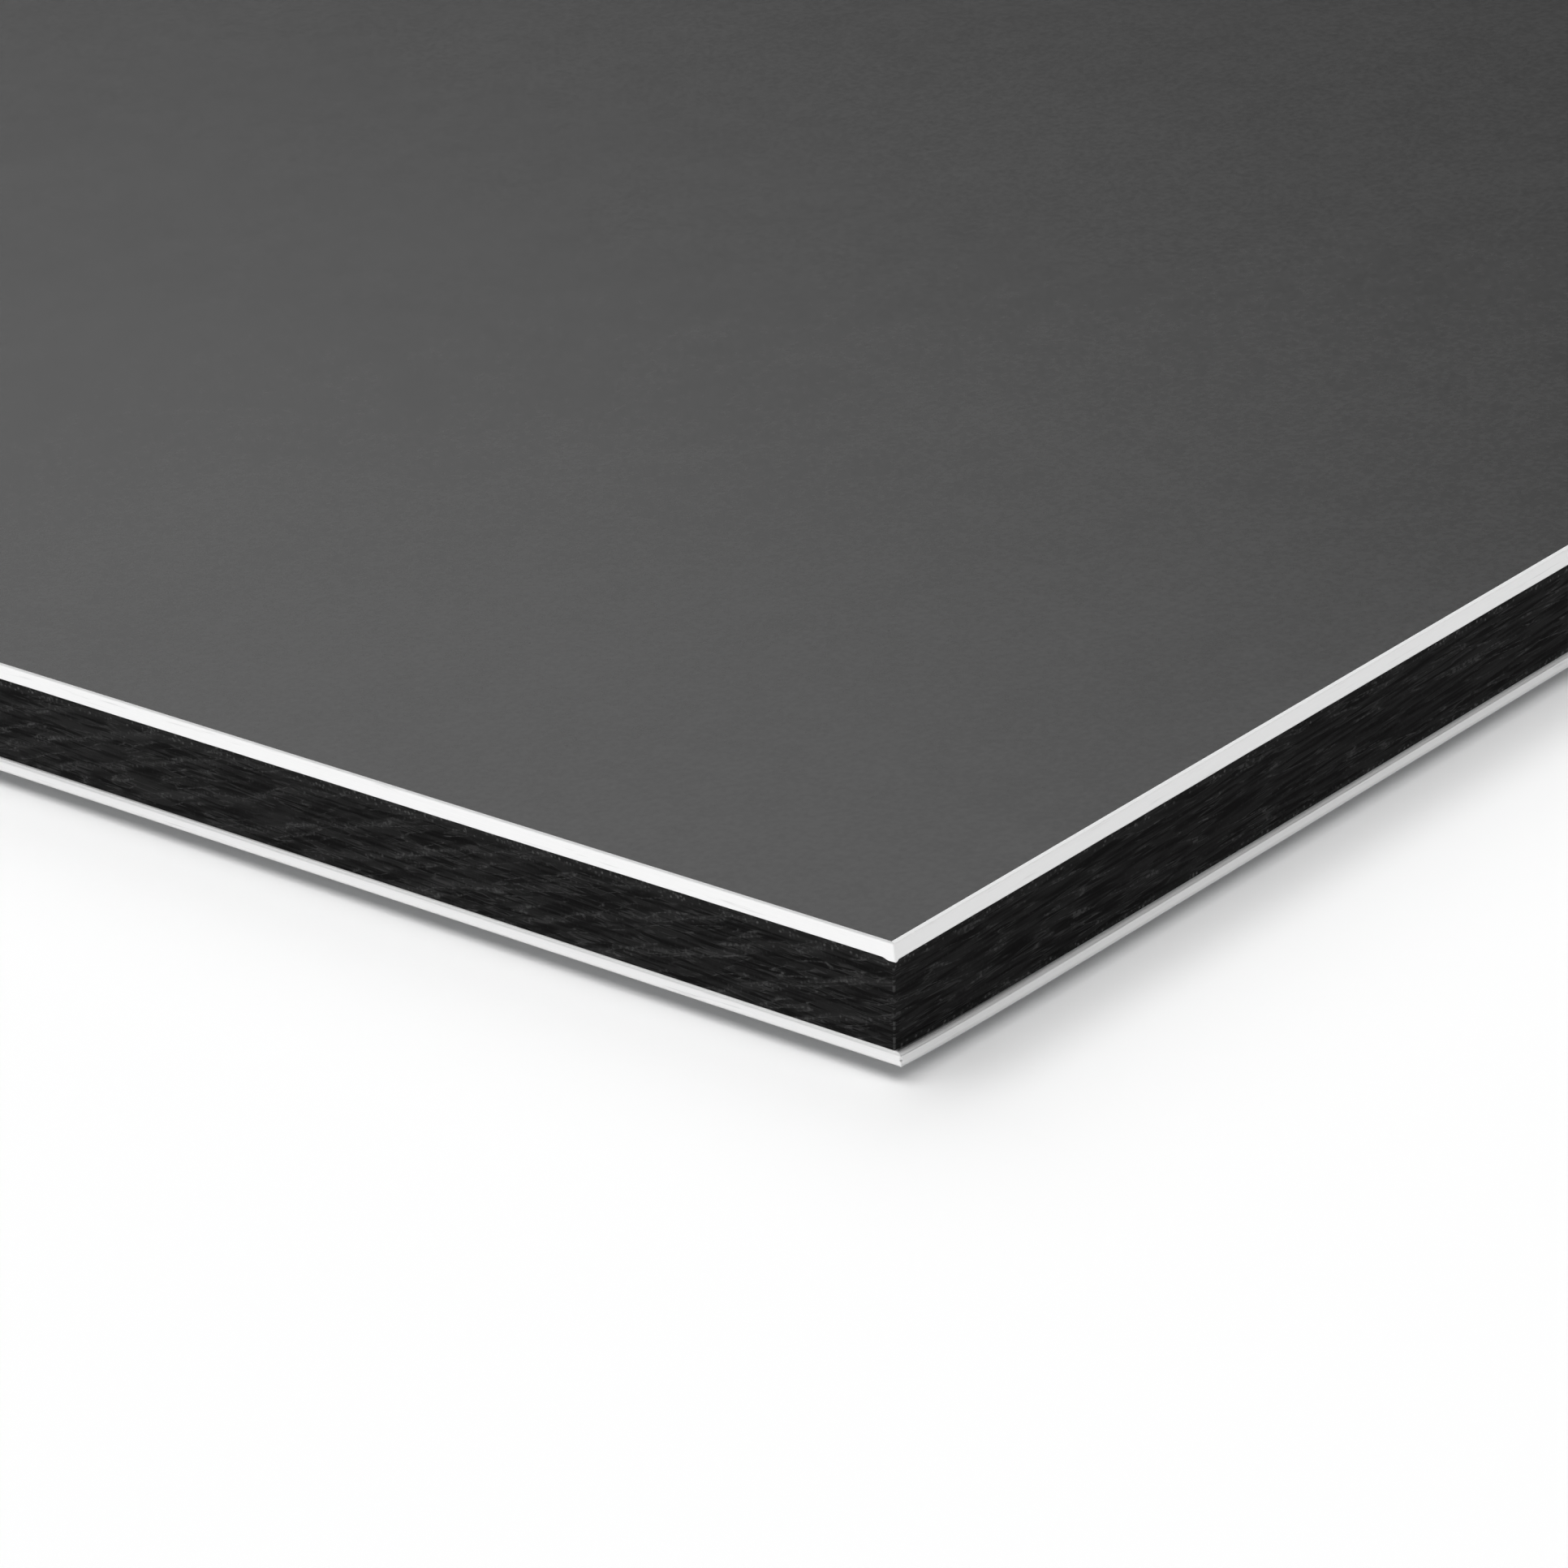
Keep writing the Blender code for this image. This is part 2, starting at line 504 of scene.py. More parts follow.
def make_core_skin():
    """Rows of points from the core's top to its bottom, moved in and out by stretched wander."""
    top, foot = (END_SET_BACK, SIDE_SET_BACK, CORE_TOP), (END_SET_BACK, SIDE_SET_BACK, CORE_BOTTOM)
    profile = straight(top, foot, CORE_ROWS)
    along = along_outline(core_loop)
    to_end = from_corner(core_loop)
    height = profile[:, [2]] + 0.0 * along
    level = leaned(core_loop, height)
    s = along + 0.0 * height

    relief = wander(s, level / (0.40 * MM), 230, seed=21) * 0.45
    relief += wander(s, level / (0.21 * MM), 600, seed=22) * 0.35
    relief += wander(s, level / (0.13 * MM), 1200, seed=23) * 0.20
    free = ease(height, CORE_BOTTOM, CORE_BOTTOM + 0.25 * MM)
    free = free * ease(-height, -LIP_BOTTOM, -LIP_BOTTOM + 0.22 * MM)
    rag = wander(0.0 * s, height / (0.15 * MM), 7, seed=24) * bell(to_end, 0.0, 0.10 * MM)
    grooves = GLUE_GROOVE * bell(height, LIP_BOTTOM, 0.07 * MM)
    grooves += FOOT_GROOVE * bell(height, CORE_BOTTOM, 0.05 * MM)

    moved = (CORE_RELIEF * relief + CORNER_RAG * rag) * free + grooves
    draw = corner_draw(to_end, height)
    end_out, side_out = foot_shift(to_end, height)
    end_inset = END_SET_BACK + moved + draw - end_out
    side_inset = SIDE_SET_BACK + moved - side_out
    rows_of_points = carried(core_loop, end_inset, side_inset, height)
    profile[0, :2] += GLUE_GROOVE
    profile[-1, :2] += FOOT_GROOVE

    skin = closed_plate(
        "core_skin",
        core_loop,
        CORE_STEPS,
        profile,
        rows_of_points,
        strip_height=0.053,
        top_place=((0.02, 0.01), (0.20, 0.13)),
        under_place=((0.26, 0.01), (0.20, 0.13)),
    )
    add_measure(skin, "to_corner", np.broadcast_to(to_end, height.shape))
    # 1 on the ends, where the core's colour gets painted shade and no scallops.
    add_measure(skin, "darker_share", np.broadcast_to(on_end(core_loop), height.shape))
    return skin


core_skin = make_core_skin()

# %% [markdown]
# ## Back sheet
#
# The plain sheet below sticks out past the core as a narrow ledge, matt from the glue that was
# on it. Next to the core the ledge is left less matt, so that it reflects the black core and looks
# dark there: painted shade at the core's foot. Its upper rim is eased, more on the ends than on
# the sides, and the cut rolls its lower rim under, so that the panel seems to float a hair above
# what it lies on. The nearest corner has a small nick.

# %% Back sheet
END_LEDGE_ROUND = 0.17 * MM
SIDE_LEDGE_ROUND = 0.08 * MM
LEDGE_DROP = 0.09 * MM
BACK_ROLL = 0.212 * MM
# Matt share of the ledge next to the core and at its outer edge. The lower share next to the core
# darkens it there: painted shade.
END_LEDGE_MATT_AND_SHADE = (0.02, 0.50)
SIDE_LEDGE_MATT_AND_SHADE = (0.12, 0.92)
LEDGE_SHADE_WIDTH = 0.20 * MM
# How much of the ends' painted shade the long sides of the back sheet get.
SIDE_PAINTED_SHADE_SHARE = 0.25
NICK_DEPTH = 0.05 * MM
NICK_HEIGHT = 0.33 * MM
BACK_WANDER = 0.003 * MM


def back_sheet_profile():
    """Flat ledge, eased upper rim, straight edge, lower rim rolled under. The upper rim is a
    quarter of an ellipse, made from a unit arc by stretching it."""
    inner = CORE_SET_BACK + 0.06 * MM
    outer = (1.1 * END_LEDGE_ROUND, 1.1 * SIDE_LEDGE_ROUND, CORE_BOTTOM)
    ledge = straight((inner, inner, CORE_BOTTOM), outer, 4)
    rounds = (END_LEDGE_ROUND, SIDE_LEDGE_ROUND, LEDGE_DROP)
    rim = arc((1.0, 1.0, -1.0), 1.0, 90, 0, 8) * rounds + (0.0, 0.0, CORE_BOTTOM)
    edge_top, edge_foot = CORE_BOTTOM - 1.2 * LEDGE_DROP, BACK_ROLL * 1.15
    edge = straight((0.0, 0.0, edge_top), (0.0, 0.0, edge_foot), 6)
    roll = arc((BACK_ROLL, BACK_ROLL, BACK_ROLL), BACK_ROLL, 0, -90, 7)
    return np.concatenate([ledge, rim, edge, roll])


def make_back_skin():
    """The lower sheet's edge with a little wander, and one nick in the nearest corner."""
    profile = back_sheet_profile()
    along = along_outline(sheet_loop)
    to_end = from_corner(sheet_loop)
    end_inset, side_inset, height = (profile[:, [column]] + 0.0 * along for column in range(3))

    on_edge = ease(-side_inset, -0.6 * BACK_ROLL, 0.0) * (height > 0.5 * BACK_ROLL)
    moved = BACK_WANDER * on_edge * (1.0 + wander(along, 0.0 * along, 300, seed=31))
    nearest = (sheet_loop[:, 0] > 0) & (sheet_loop[:, 1] < 0)
    nick = bell(height, NICK_HEIGHT, 0.06 * MM) * bell(to_end, 0.0, 0.03 * MM) * nearest
    moved = moved + NICK_DEPTH * nick
    draw = corner_draw(to_end, height)
    rows_of_points = carried(sheet_loop, end_inset + moved + draw, side_inset + moved, height)

    skin = closed_plate(
        "back_sheet_skin",
        sheet_loop,
        SHEET_STEPS,
        profile,
        rows_of_points,
        strip_height=0.028,
        top_place=((0.80, 0.02), (0.18, 0.12)),
        under_place=((0.02, 0.02), (0.75, 0.50)),
    )
    ends = on_end(sheet_loop)
    # Painted shade: full on the ends and a share of it on the long sides.
    darker_share = SIDE_PAINTED_SHADE_SHARE + (1.0 - SIDE_PAINTED_SHADE_SHARE) * ends
    add_measure(skin, "darker_share", np.broadcast_to(darker_share, height.shape))
    # The matt share grows from the core outwards over the width above; its fade towards the core is
    # painted shade.
    on_ledge = ease(height, CORE_BOTTOM - 0.95 * LEDGE_DROP, CORE_BOTTOM - 0.45 * LEDGE_DROP)
    outwards = ease(-side_inset, -LEDGE_SHADE_WIDTH, 0.0)
    low, high = (np.where(ends > 0.5, *pair) for pair in zip(END_LEDGE_MATT_AND_SHADE, SIDE_LEDGE_MATT_AND_SHADE))
    add_measure(skin, "matt", on_ledge * (low + (high - low) * outwards))
    return skin


back_skin = make_back_skin()

# %% [markdown]
# ## Small tools for materials
#
# A material is a tree of nodes. A few helpers keep the trees readable. The first adds a node and
# fills its inputs, either with a number or with a link from another node. The others use it: for
# arithmetic, for stretching a range, for mixing two colours, and for painting shade on a colour
# where a skin's measure says so.

# %% Node helpers


def put(tree, kind, inputs=None, **settings):
    """Adds a node, sets its properties, and types in or links its inputs."""
    made = tree.nodes.new(kind)
    for key, value in settings.items():
        setattr(made, key, value)
    for key, value in (inputs or {}).items():
        if isinstance(value, bpy.types.NodeSocket):
            tree.links.new(value, made.inputs[key])
        else:
            made.inputs[key].default_value = value
    return made


def maths(tree, operation, first, second=0.5):
    """One step of arithmetic on two values."""
    return put(tree, "ShaderNodeMath", {0: first, 1: second}, operation=operation).outputs[0]


def vectors(tree, operation, first, second):
    """One step of arithmetic on two vectors."""
    return put(tree, "ShaderNodeVectorMath", {0: first, 1: second}, operation=operation).outputs[0]


def spread(tree, value, low, high, to_low=0.0, to_high=1.0):
    """Stretches a value's range from low and high to to_low and to_high, smoothly at both ends."""
    inputs = {0: value, 1: low, 2: high, 3: to_low, 4: to_high}
    return put(tree, "ShaderNodeMapRange", inputs, interpolation_type="SMOOTHSTEP").outputs[0]


def between(tree, share, first, second):
    """Mixes two colours."""
    return put(tree, "ShaderNodeMix", {0: share, 6: first, 7: second}, data_type="RGBA").outputs[2]


def with_painted_shade(tree, colour, level):
    """Multiplies a colour by a grey level, as far as the skin's measure says. This paints shade on the
    ends.
    """
    share = put(tree, "ShaderNodeAttribute", attribute_name="darker_share").outputs["Fac"]
    inputs = {0: share, 6: colour, 7: (level, level, level, 1.0)}
    settings = {"data_type": "RGBA", "blend_type": "MULTIPLY"}
    return put(tree, "ShaderNodeMix", inputs, **settings).outputs[2]


def new_group(name, inputs, outputs):
    """An empty node group with named sockets. Gives the group and its two end nodes."""
    group = bpy.data.node_groups.new(name, "ShaderNodeTree")
    for label, kind, value in inputs:
        group.interface.new_socket(label, in_out="INPUT", socket_type=kind).default_value = value
    for label in outputs:
        group.interface.new_socket(label, in_out="OUTPUT", socket_type="NodeSocketFloat")
    return group, group.nodes.new("NodeGroupInput"), group.nodes.new("NodeGroupOutput")


def place(tree, group, inputs):
    """Puts a node group into a material with that material's own values."""
    return put(tree, "ShaderNodeGroup", inputs, node_tree=group).outputs


# %% [markdown]
# ## Effects that several finishes share
#
# Three effects are used more than once, so each is a node group that is built once.
#
# Drawn streaks are what a saw, a rolling mill or a drag mark leaves: noise that is stretched by
# giving it a different scale on each axis. Its contour line, where the noise crosses its middle
# value, makes thin threads that wander, part and meet again, which suits torn plastic. The input
# "Thread" sets how far from that middle value a thread still shows, and so its width.
#
# Mottle is the soft cloudiness of any painted or rolled surface. Specks are scattered dots, made
# from Voronoi cells of which only a share is kept.

# %% Drawn streaks


def build_streaks():
    """Noise read at the place divided by the size of a streak, after a lean and a slow bend."""
    inputs = [
        ("Vector", "NodeSocketVector", (0.0, 0.0, 0.0)),
        ("Streak", "NodeSocketVector", (1.0, 1.0, 1.0)),
        ("Lean", "NodeSocketVector", (0.0, 0.0, 0.0)),
        ("Bend", "NodeSocketFloat", 0.0),
        ("Detail", "NodeSocketFloat", 3.0),
        ("Thread", "NodeSocketFloat", 0.05),
    ]
    group, start, end = new_group("drawn_streaks", inputs, ("Streaks", "Threads"))
    here = start.outputs["Vector"]
    inputs = {0: here, 1: start.outputs["Lean"]}
    leaning = put(group, "ShaderNodeVectorMath", inputs, operation="DOT_PRODUCT").outputs["Value"]
    drop = put(group, "ShaderNodeCombineXYZ", {2: leaning}).outputs[0]
    straightened = vectors(group, "SUBTRACT", here, drop)
    in_mm = vectors(group, "MULTIPLY", straightened, (1 / MM, 1 / MM, 1 / MM))
    counted = vectors(group, "DIVIDE", in_mm, start.outputs["Streak"])
    slow = vectors(group, "MULTIPLY", counted, (0.37, 0.37, 0.23))
    bend = put(group, "ShaderNodeTexNoise", {"Vector": slow, "Scale": 1.0, "Detail": 1.0})
    centred = vectors(group, "SUBTRACT", bend.outputs["Color"], (0.5, 0.5, 0.5))
    amount = put(
        group,
        "ShaderNodeVectorMath",
        {0: centred, "Scale": start.outputs["Bend"]},
        operation="SCALE",
    ).outputs[0]
    bent = vectors(group, "ADD", counted, amount)
    inputs = {"Vector": bent, "Scale": 1.0, "Detail": start.outputs["Detail"], "Roughness": 0.55}
    noise = put(group, "ShaderNodeTexNoise", inputs).outputs[0]
    off_middle = maths(group, "ABSOLUTE", maths(group, "SUBTRACT", noise, 0.5))
    thread = spread(group, off_middle, 0.0, start.outputs["Thread"], 1.0, 0.0)
    group.links.new(noise, end.inputs["Streaks"])
    group.links.new(thread, end.inputs["Threads"])
    return group


streaks = build_streaks()

# %% Mottle and specks


def build_mottle():
    """Two sizes of noise added: clouds of the given size, and a grain a seventh as large."""
    inputs = [
        ("Vector", "NodeSocketVector", (0.0, 0.0, 0.0)),
        ("Size", "NodeSocketFloat", 1.0),
        ("Fine share", "NodeSocketFloat", 0.5),
    ]
    group, start, end = new_group("mottle", inputs, ("Mottle",))
    per_metre = maths(group, "DIVIDE", 1 / MM, start.outputs["Size"])
    here = start.outputs["Vector"]
    inputs = {"Vector": here, "Scale": per_metre, "Detail": 2.0}
    cloud = put(group, "ShaderNodeTexNoise", inputs).outputs[0]
    finer = maths(group, "MULTIPLY", per_metre, 7.0)
    inputs = {"Vector": here, "Scale": finer, "Detail": 2.0}
    grain = put(group, "ShaderNodeTexNoise", inputs).outputs[0]
    fine = start.outputs["Fine share"]
    grain_part = maths(group, "MULTIPLY", grain, fine)
    cloud_part = maths(group, "MULTIPLY", cloud, maths(group, "SUBTRACT", 1.0, fine))
    group.links.new(maths(group, "ADD", grain_part, cloud_part), end.inputs["Mottle"])
    return group


def build_specks():
    """Dots at the middle of Voronoi cells. A cell is kept if its random number is below the share."""
    inputs = [
        ("Vector", "NodeSocketVector", (0.0, 0.0, 0.0)),
        ("Spacing", "NodeSocketFloat", 1.0),
        ("Radius", "NodeSocketFloat", 0.25),
        ("Share", "NodeSocketFloat", 0.2),
    ]
    group, start, end = new_group("specks", inputs, ("Specks",))
    per_metre = maths(group, "DIVIDE", 1 / MM, start.outputs["Spacing"])
    cells = put(group, "ShaderNodeTexVoronoi", {"Vector": start.outputs["Vector"], "Scale": per_metre})
    near = maths(group, "DIVIDE", cells.outputs["Distance"], start.outputs["Radius"])
    dot = spread(group, near, 0.3, 1.0, 1.0, 0.0)
    pick = put(group, "ShaderNodeSeparateColor", {0: cells.outputs["Color"]}).outputs[0]
    kept = maths(group, "LESS_THAN", pick, start.outputs["Share"])
    group.links.new(maths(group, "MULTIPLY", dot, kept), end.inputs["Specks"])
    return group


mottle = build_mottle()
specks = build_specks()
print("node groups:", [group.name for group in bpy.data.node_groups])

# %% [markdown]
# ## Lacquer
#
# Coil-coated lacquer is sprayed on flat sheet and baked, so it is very even: a dark neutral grey
# with a satin sheen, a fine grain, a faint cloudiness, and an orange peel that is too low to see
# except where a light glances off it. The colour, the roughness and the height each get a little
# mottle. A few specks of dust are baked in.

# %% Lacquer
LACQUER_GREYS = (0.0270, 0.0425)
DUST_GREY = 0.008


def new_material(name, roughness, metallic, specular):
    """A material with its Principled shader and its object coordinates."""
    material = bpy.data.materials.new(name)
    material.use_nodes = True
    tree = material.node_tree
    shader = tree.nodes["Principled BSDF"]
    shader.inputs["Roughness"].default_value = roughness
    shader.inputs["Metallic"].default_value = metallic
    shader.inputs["Specular IOR Level"].default_value = specular
    here = put(tree, "ShaderNodeTexCoord").outputs["Object"]
    return material, tree, shader, here


def grey(level):
    """A neutral colour."""
    return (level, level, level, 1.0)


def make_lacquer():
    """Dark grey, mixed between two close greys by the mottle."""
    material, tree, shader, here = new_material("satin_lacquer", 0.24, 0.0, 0.20)
    fine = place(tree, mottle, {"Vector": here, "Size": 1.5, "Fine share": 0.75})["Mottle"]
    broad = place(tree, mottle, {"Vector": here, "Size": 8.0, "Fine share": 0.2})["Mottle"]
    both = maths(tree, "ADD", maths(tree, "MULTIPLY", fine, 0.8), maths(tree, "MULTIPLY", broad, 0.2))
    dark, light = map(grey, LACQUER_GREYS)
    shade = between(tree, spread(tree, both, 0.30, 0.70), dark, light)
    inputs = {"Vector": here, "Spacing": 0.7, "Radius": 0.07, "Share": 0.06}
    dust = place(tree, specks, inputs)["Specks"]
    tree.links.new(between(tree, dust, shade, grey(DUST_GREY)), shader.inputs["Base Color"])
    tree.links.new(spread(tree, fine, 0.3, 0.7, 0.232, 0.248), shader.inputs["Roughness"])
    peel = place(tree, mottle, {"Vector": here, "Size": 0.45, "Fine share": 0.2})["Mottle"]
    inputs = {"Height": peel, "Distance": 0.0004 * MM, "Strength": 1.0}
    tree.links.new(put(tree, "ShaderNodeBump", inputs).outputs[0], shader.inputs["Normal"])
    return material


lacquer = make_lacquer()

# %% [markdown]
# ## Cut aluminium
#
# Freshly sawn aluminium is bright and nearly white. The teeth leave very fine lines along the
# edge, seen as a slight change of sheen, and a few short darker smears. The ends are painted
# darker than the sides, as painted shade, and a measure on each skin says by how much.
#
# Torn metal, and metal with a film of glue on it, scatters light in all directions and hardly
# mirrors anything. The "matt" measure of the sheets says where, and there the metallic share
# goes down and the roughness up.

# %% Cut aluminium
BRIGHT_GREYS = (0.96, 0.99)
SMEAR_GREY = 0.82
# The ends' metal colour is multiplied by the next number, as painted shade.
END_PAINTED_SHADE = 0.80
MATT_GREY = 0.86


def make_cut_aluminium():
    """Bright metal with lengthwise streaks in its colour, roughness and height."""
    material, tree, shader, here = new_material("cut_aluminium", 0.4, 1.0, 0.5)
    line = {"Vector": here, "Streak": (5.0, 5.0, 0.035), "Bend": 0.3, "Detail": 4.0}
    fine = place(tree, streaks, line)["Streaks"]
    line = {"Vector": here, "Streak": (2.2, 2.2, 0.10), "Bend": 0.6, "Detail": 2.0}
    smears = place(tree, streaks, line)["Streaks"]
    darker_share = spread(tree, smears, 0.62, 0.78)
    light = spread(tree, fine, 0.3, 0.7)
    bright = between(tree, light, grey(BRIGHT_GREYS[0]), grey(BRIGHT_GREYS[1]))
    metal = between(tree, darker_share, bright, grey(SMEAR_GREY))
    # The ends are painted darker here: painted shade.
    shade = with_painted_shade(tree, metal, END_PAINTED_SHADE)
    matt = put(tree, "ShaderNodeAttribute", attribute_name="matt").outputs["Fac"]
    tree.links.new(between(tree, matt, shade, grey(MATT_GREY)), shader.inputs["Base Color"])
    tree.links.new(maths(tree, "SUBTRACT", 1.0, matt), shader.inputs["Metallic"])
    sheen = spread(tree, fine, 0.3, 0.7, 0.31, 0.39)
    roughness = maths(tree, "ADD", sheen, maths(tree, "MULTIPLY", matt, 0.3))
    tree.links.new(roughness, shader.inputs["Roughness"])
    inputs = {"Height": fine, "Distance": 0.0008 * MM, "Strength": 1.0}
    tree.links.new(put(tree, "ShaderNodeBump", inputs).outputs[0], shader.inputs["Normal"])
    return material


cut_aluminium = make_cut_aluminium()

# %% [markdown]
# ## Mill finish
#
# The back of the panel is bare rolled aluminium, dulled by its oxide. The rolls leave long faint
# lines that run the length of the sheet, over a soft cloudy grey.

# %% Mill finish
MILL_DARK = (0.65, 0.66, 0.67, 1.0)
MILL_LIGHT = (0.75, 0.76, 0.77, 1.0)


def make_mill_finish():
    """Rolled aluminium: long lines along X, with cloudy sheen."""
    material, tree, shader, here = new_material("mill_finish", 0.42, 1.0, 0.5)
    line = {"Vector": here, "Streak": (45.0, 0.16, 0.16), "Bend": 0.2, "Detail": 5.0}
    rolled = place(tree, streaks, line)["Streaks"]
    clouds = place(tree, mottle, {"Vector": here, "Size": 14.0, "Fine share": 0.3})["Mottle"]
    cloudy = maths(tree, "MULTIPLY", clouds, 0.4)
    mixed = maths(tree, "ADD", maths(tree, "MULTIPLY", rolled, 0.6), cloudy)
    shade = spread(tree, mixed, 0.35, 0.65)
    tree.links.new(between(tree, shade, MILL_DARK, MILL_LIGHT), shader.inputs["Base Color"])
    tree.links.new(spread(tree, mixed, 0.3, 0.7, 0.48, 0.34), shader.inputs["Roughness"])
    inputs = {"Height": rolled, "Distance": 0.0015 * MM, "Strength": 1.0}
    tree.links.new(put(tree, "ShaderNodeBump", inputs).outputs[0], shader.inputs["Normal"])
    return material


mill_finish = make_mill_finish()

# %% [markdown]
# ## Sawn polyethylene
#
# The core is black all through. What can be seen is how the cut catches the light, painted into
# the colour: dim drawn fibres, and lighter threads between them that fade in and out, as painted
# highlights, and pale beads where the plastic is torn. The beads are thickest in a band under the
# lip, and on the ends along the foot too. Along the corner the fibres end in a row of short pale
# ticks, painted highlights where burrs catch the light. The ends are painted darker than the
# sides, as painted shade.
#
# On the long sides the blade also left scallops. Each pass is a dark lens, and between two lenses
# a light ridge climbs across the core at a low angle. They come at even steps, so the measure is a
# triangle wave of the distance along the edge less the height over the slope of the climb.
#
# The same streak group makes fibres and threads at two sizes. The wide ones follow the scallops
# and the fine ones follow the edge, and the height follows both.

# %% Sawn polyethylene
SCALLOP_CLIMB = 0.27
SCALLOP_STEP = 4.0 * MM
TORN_BAND_HEIGHT = LIP_BOTTOM - 0.20 * MM
WIDE_LEAN = (SCALLOP_CLIMB, -0.065, 0.0)
FINE_LEAN = (-0.03, 0.03, 0.0)
# The next two numbers paint shade on the core's ends: first on the ground tone, then on the whole
# colour.
CORE_GROUND_PAINTED_SHADE = 0.50
CORE_END_PAINTED_SHADE = 0.66
DEEP_GREY = 0.0010
# The lit fibre grey and the thread and tick greys are painted highlights.
LIT_FIBRE_GREY = 0.0125
TORN_GREY = 0.0240
THREAD_HIGHLIGHT_GREY = 0.060
TICK_HIGHLIGHT_GREY = 0.075
BEAD_GREY = 0.115


def scallop_ridges(tree, here, along, height):
    """1 on the ridges between scallops. A slow mottle keeps the steps from being quite even."""
    climbed = maths(tree, "SUBTRACT", maths(tree, "MULTIPLY", along, SCALLOP_CLIMB), height)
    steps = maths(tree, "DIVIDE", climbed, SCALLOP_CLIMB * SCALLOP_STEP)
    slow = place(tree, mottle, {"Vector": here, "Size": 3.0, "Fine share": 0.1})["Mottle"]
    wave = maths(tree, "PINGPONG", maths(tree, "ADD", steps, maths(tree, "MULTIPLY", slow, 0.9)), 0.5)
    return spread(tree, wave, 0.30, 0.48)


def make_sawn_core():
    """Black plastic with fibres, threads, scallops and torn beads."""
    material, tree, shader, here = new_material("sawn_polyethylene", 0.6, 0.0, 0.08)
    line = {"Vector": here, "Streak": (2.6, 3.6, 0.30), "Lean": WIDE_LEAN, "Bend": 1.2}
    wide = place(tree, streaks, line | {"Detail": 1.5, "Thread": 0.035})
    line = {"Vector": here, "Streak": (2.0, 2.0, 0.12), "Lean": FINE_LEAN, "Bend": 1.3}
    fine = place(tree, streaks, line | {"Detail": 1.0, "Thread": 0.045})
    line = {"Vector": here, "Streak": (1.3, 1.3, 0.30), "Lean": WIDE_LEAN, "Detail": 1.0}
    breaks = spread(tree, place(tree, streaks, line)["Streaks"], 0.42, 0.60)
    grain = place(tree, mottle, {"Vector": here, "Size": 0.13, "Fine share": 0.0})["Mottle"]
    beads = spread(tree, grain, 0.45, 0.60, 0.25, 1.0)
    inputs = {"Vector": here, "Spacing": 0.14, "Radius": 0.50, "Share": 0.80}
    dots = place(tree, specks, inputs)["Specks"]
    line = {"Vector": here, "Streak": (9.0, 9.0, 0.10), "Detail": 0.0}
    ticks = spread(tree, place(tree, streaks, line)["Streaks"], 0.50, 0.62)

    axis = put(tree, "ShaderNodeSeparateXYZ", {0: here}).outputs
    on_ends = put(tree, "ShaderNodeAttribute", attribute_name="darker_share").outputs["Fac"]
    on_sides = maths(tree, "SUBTRACT", 1.0, on_ends)
    ridge = maths(tree, "MULTIPLY", scallop_ridges(tree, here, axis["X"], axis["Z"]), on_sides)
    lens = maths(tree, "SUBTRACT", on_sides, ridge)
    off_band = maths(tree, "ABSOLUTE", maths(tree, "SUBTRACT", axis["Z"], TORN_BAND_HEIGHT))
    in_band = spread(tree, off_band, 0.10 * MM, 0.24 * MM, 1.0, 0.0)
    at_foot = spread(tree, axis["Z"], CORE_BOTTOM + 0.06 * MM, CORE_BOTTOM + 0.24 * MM, 1.0, 0.0)
    to_corner = put(tree, "ShaderNodeAttribute", attribute_name="to_corner").outputs["Fac"]
    at_corner = spread(tree, to_corner, 0.01 * MM, 0.08 * MM, 1.0, 0.0)

    fibres = maths(tree, "MULTIPLY", fine["Streaks"], wide["Streaks"])
    lit = spread(tree, fibres, 0.17, 0.37)
    tone = between(tree, lit, grey(DEEP_GREY), grey(LIT_FIBRE_GREY))
    tone = between(tree, maths(tree, "MULTIPLY", lens, 0.38), tone, grey(DEEP_GREY))
    torn_edges = maths(tree, "MAXIMUM", in_band, maths(tree, "MULTIPLY", at_foot, on_ends))
    lighter = maths(tree, "MAXIMUM", torn_edges, maths(tree, "MULTIPLY", ridge, 0.5))
    tone = between(tree, maths(tree, "MULTIPLY", lighter, 0.65), tone, grey(TORN_GREY))
    # Painted shade on the ends, on the ground tone.
    tone = with_painted_shade(tree, tone, CORE_GROUND_PAINTED_SHADE)
    beaded = maths(tree, "MULTIPLY", wide["Threads"], beads)
    threads = maths(tree, "MAXIMUM", beaded, maths(tree, "MULTIPLY", fine["Threads"], 0.5))
    threads = maths(tree, "MULTIPLY", threads, maths(tree, "MAXIMUM", breaks, ridge))
    # Painted highlights: the lighter threads.
    tone = between(tree, threads, tone, grey(THREAD_HIGHLIGHT_GREY))
    where = maths(tree, "MAXIMUM", torn_edges, maths(tree, "MULTIPLY", ridge, 0.35))
    where = maths(tree, "MAXIMUM", where, 0.06)
    torn = maths(tree, "MULTIPLY", maths(tree, "MULTIPLY", dots, where), beads)
    tone = between(tree, torn, tone, grey(BEAD_GREY))
    # Painted highlights: pale ticks along the corner.
    ragged = maths(tree, "MULTIPLY", at_corner, ticks)
    tone = between(tree, ragged, tone, grey(TICK_HIGHLIGHT_GREY))
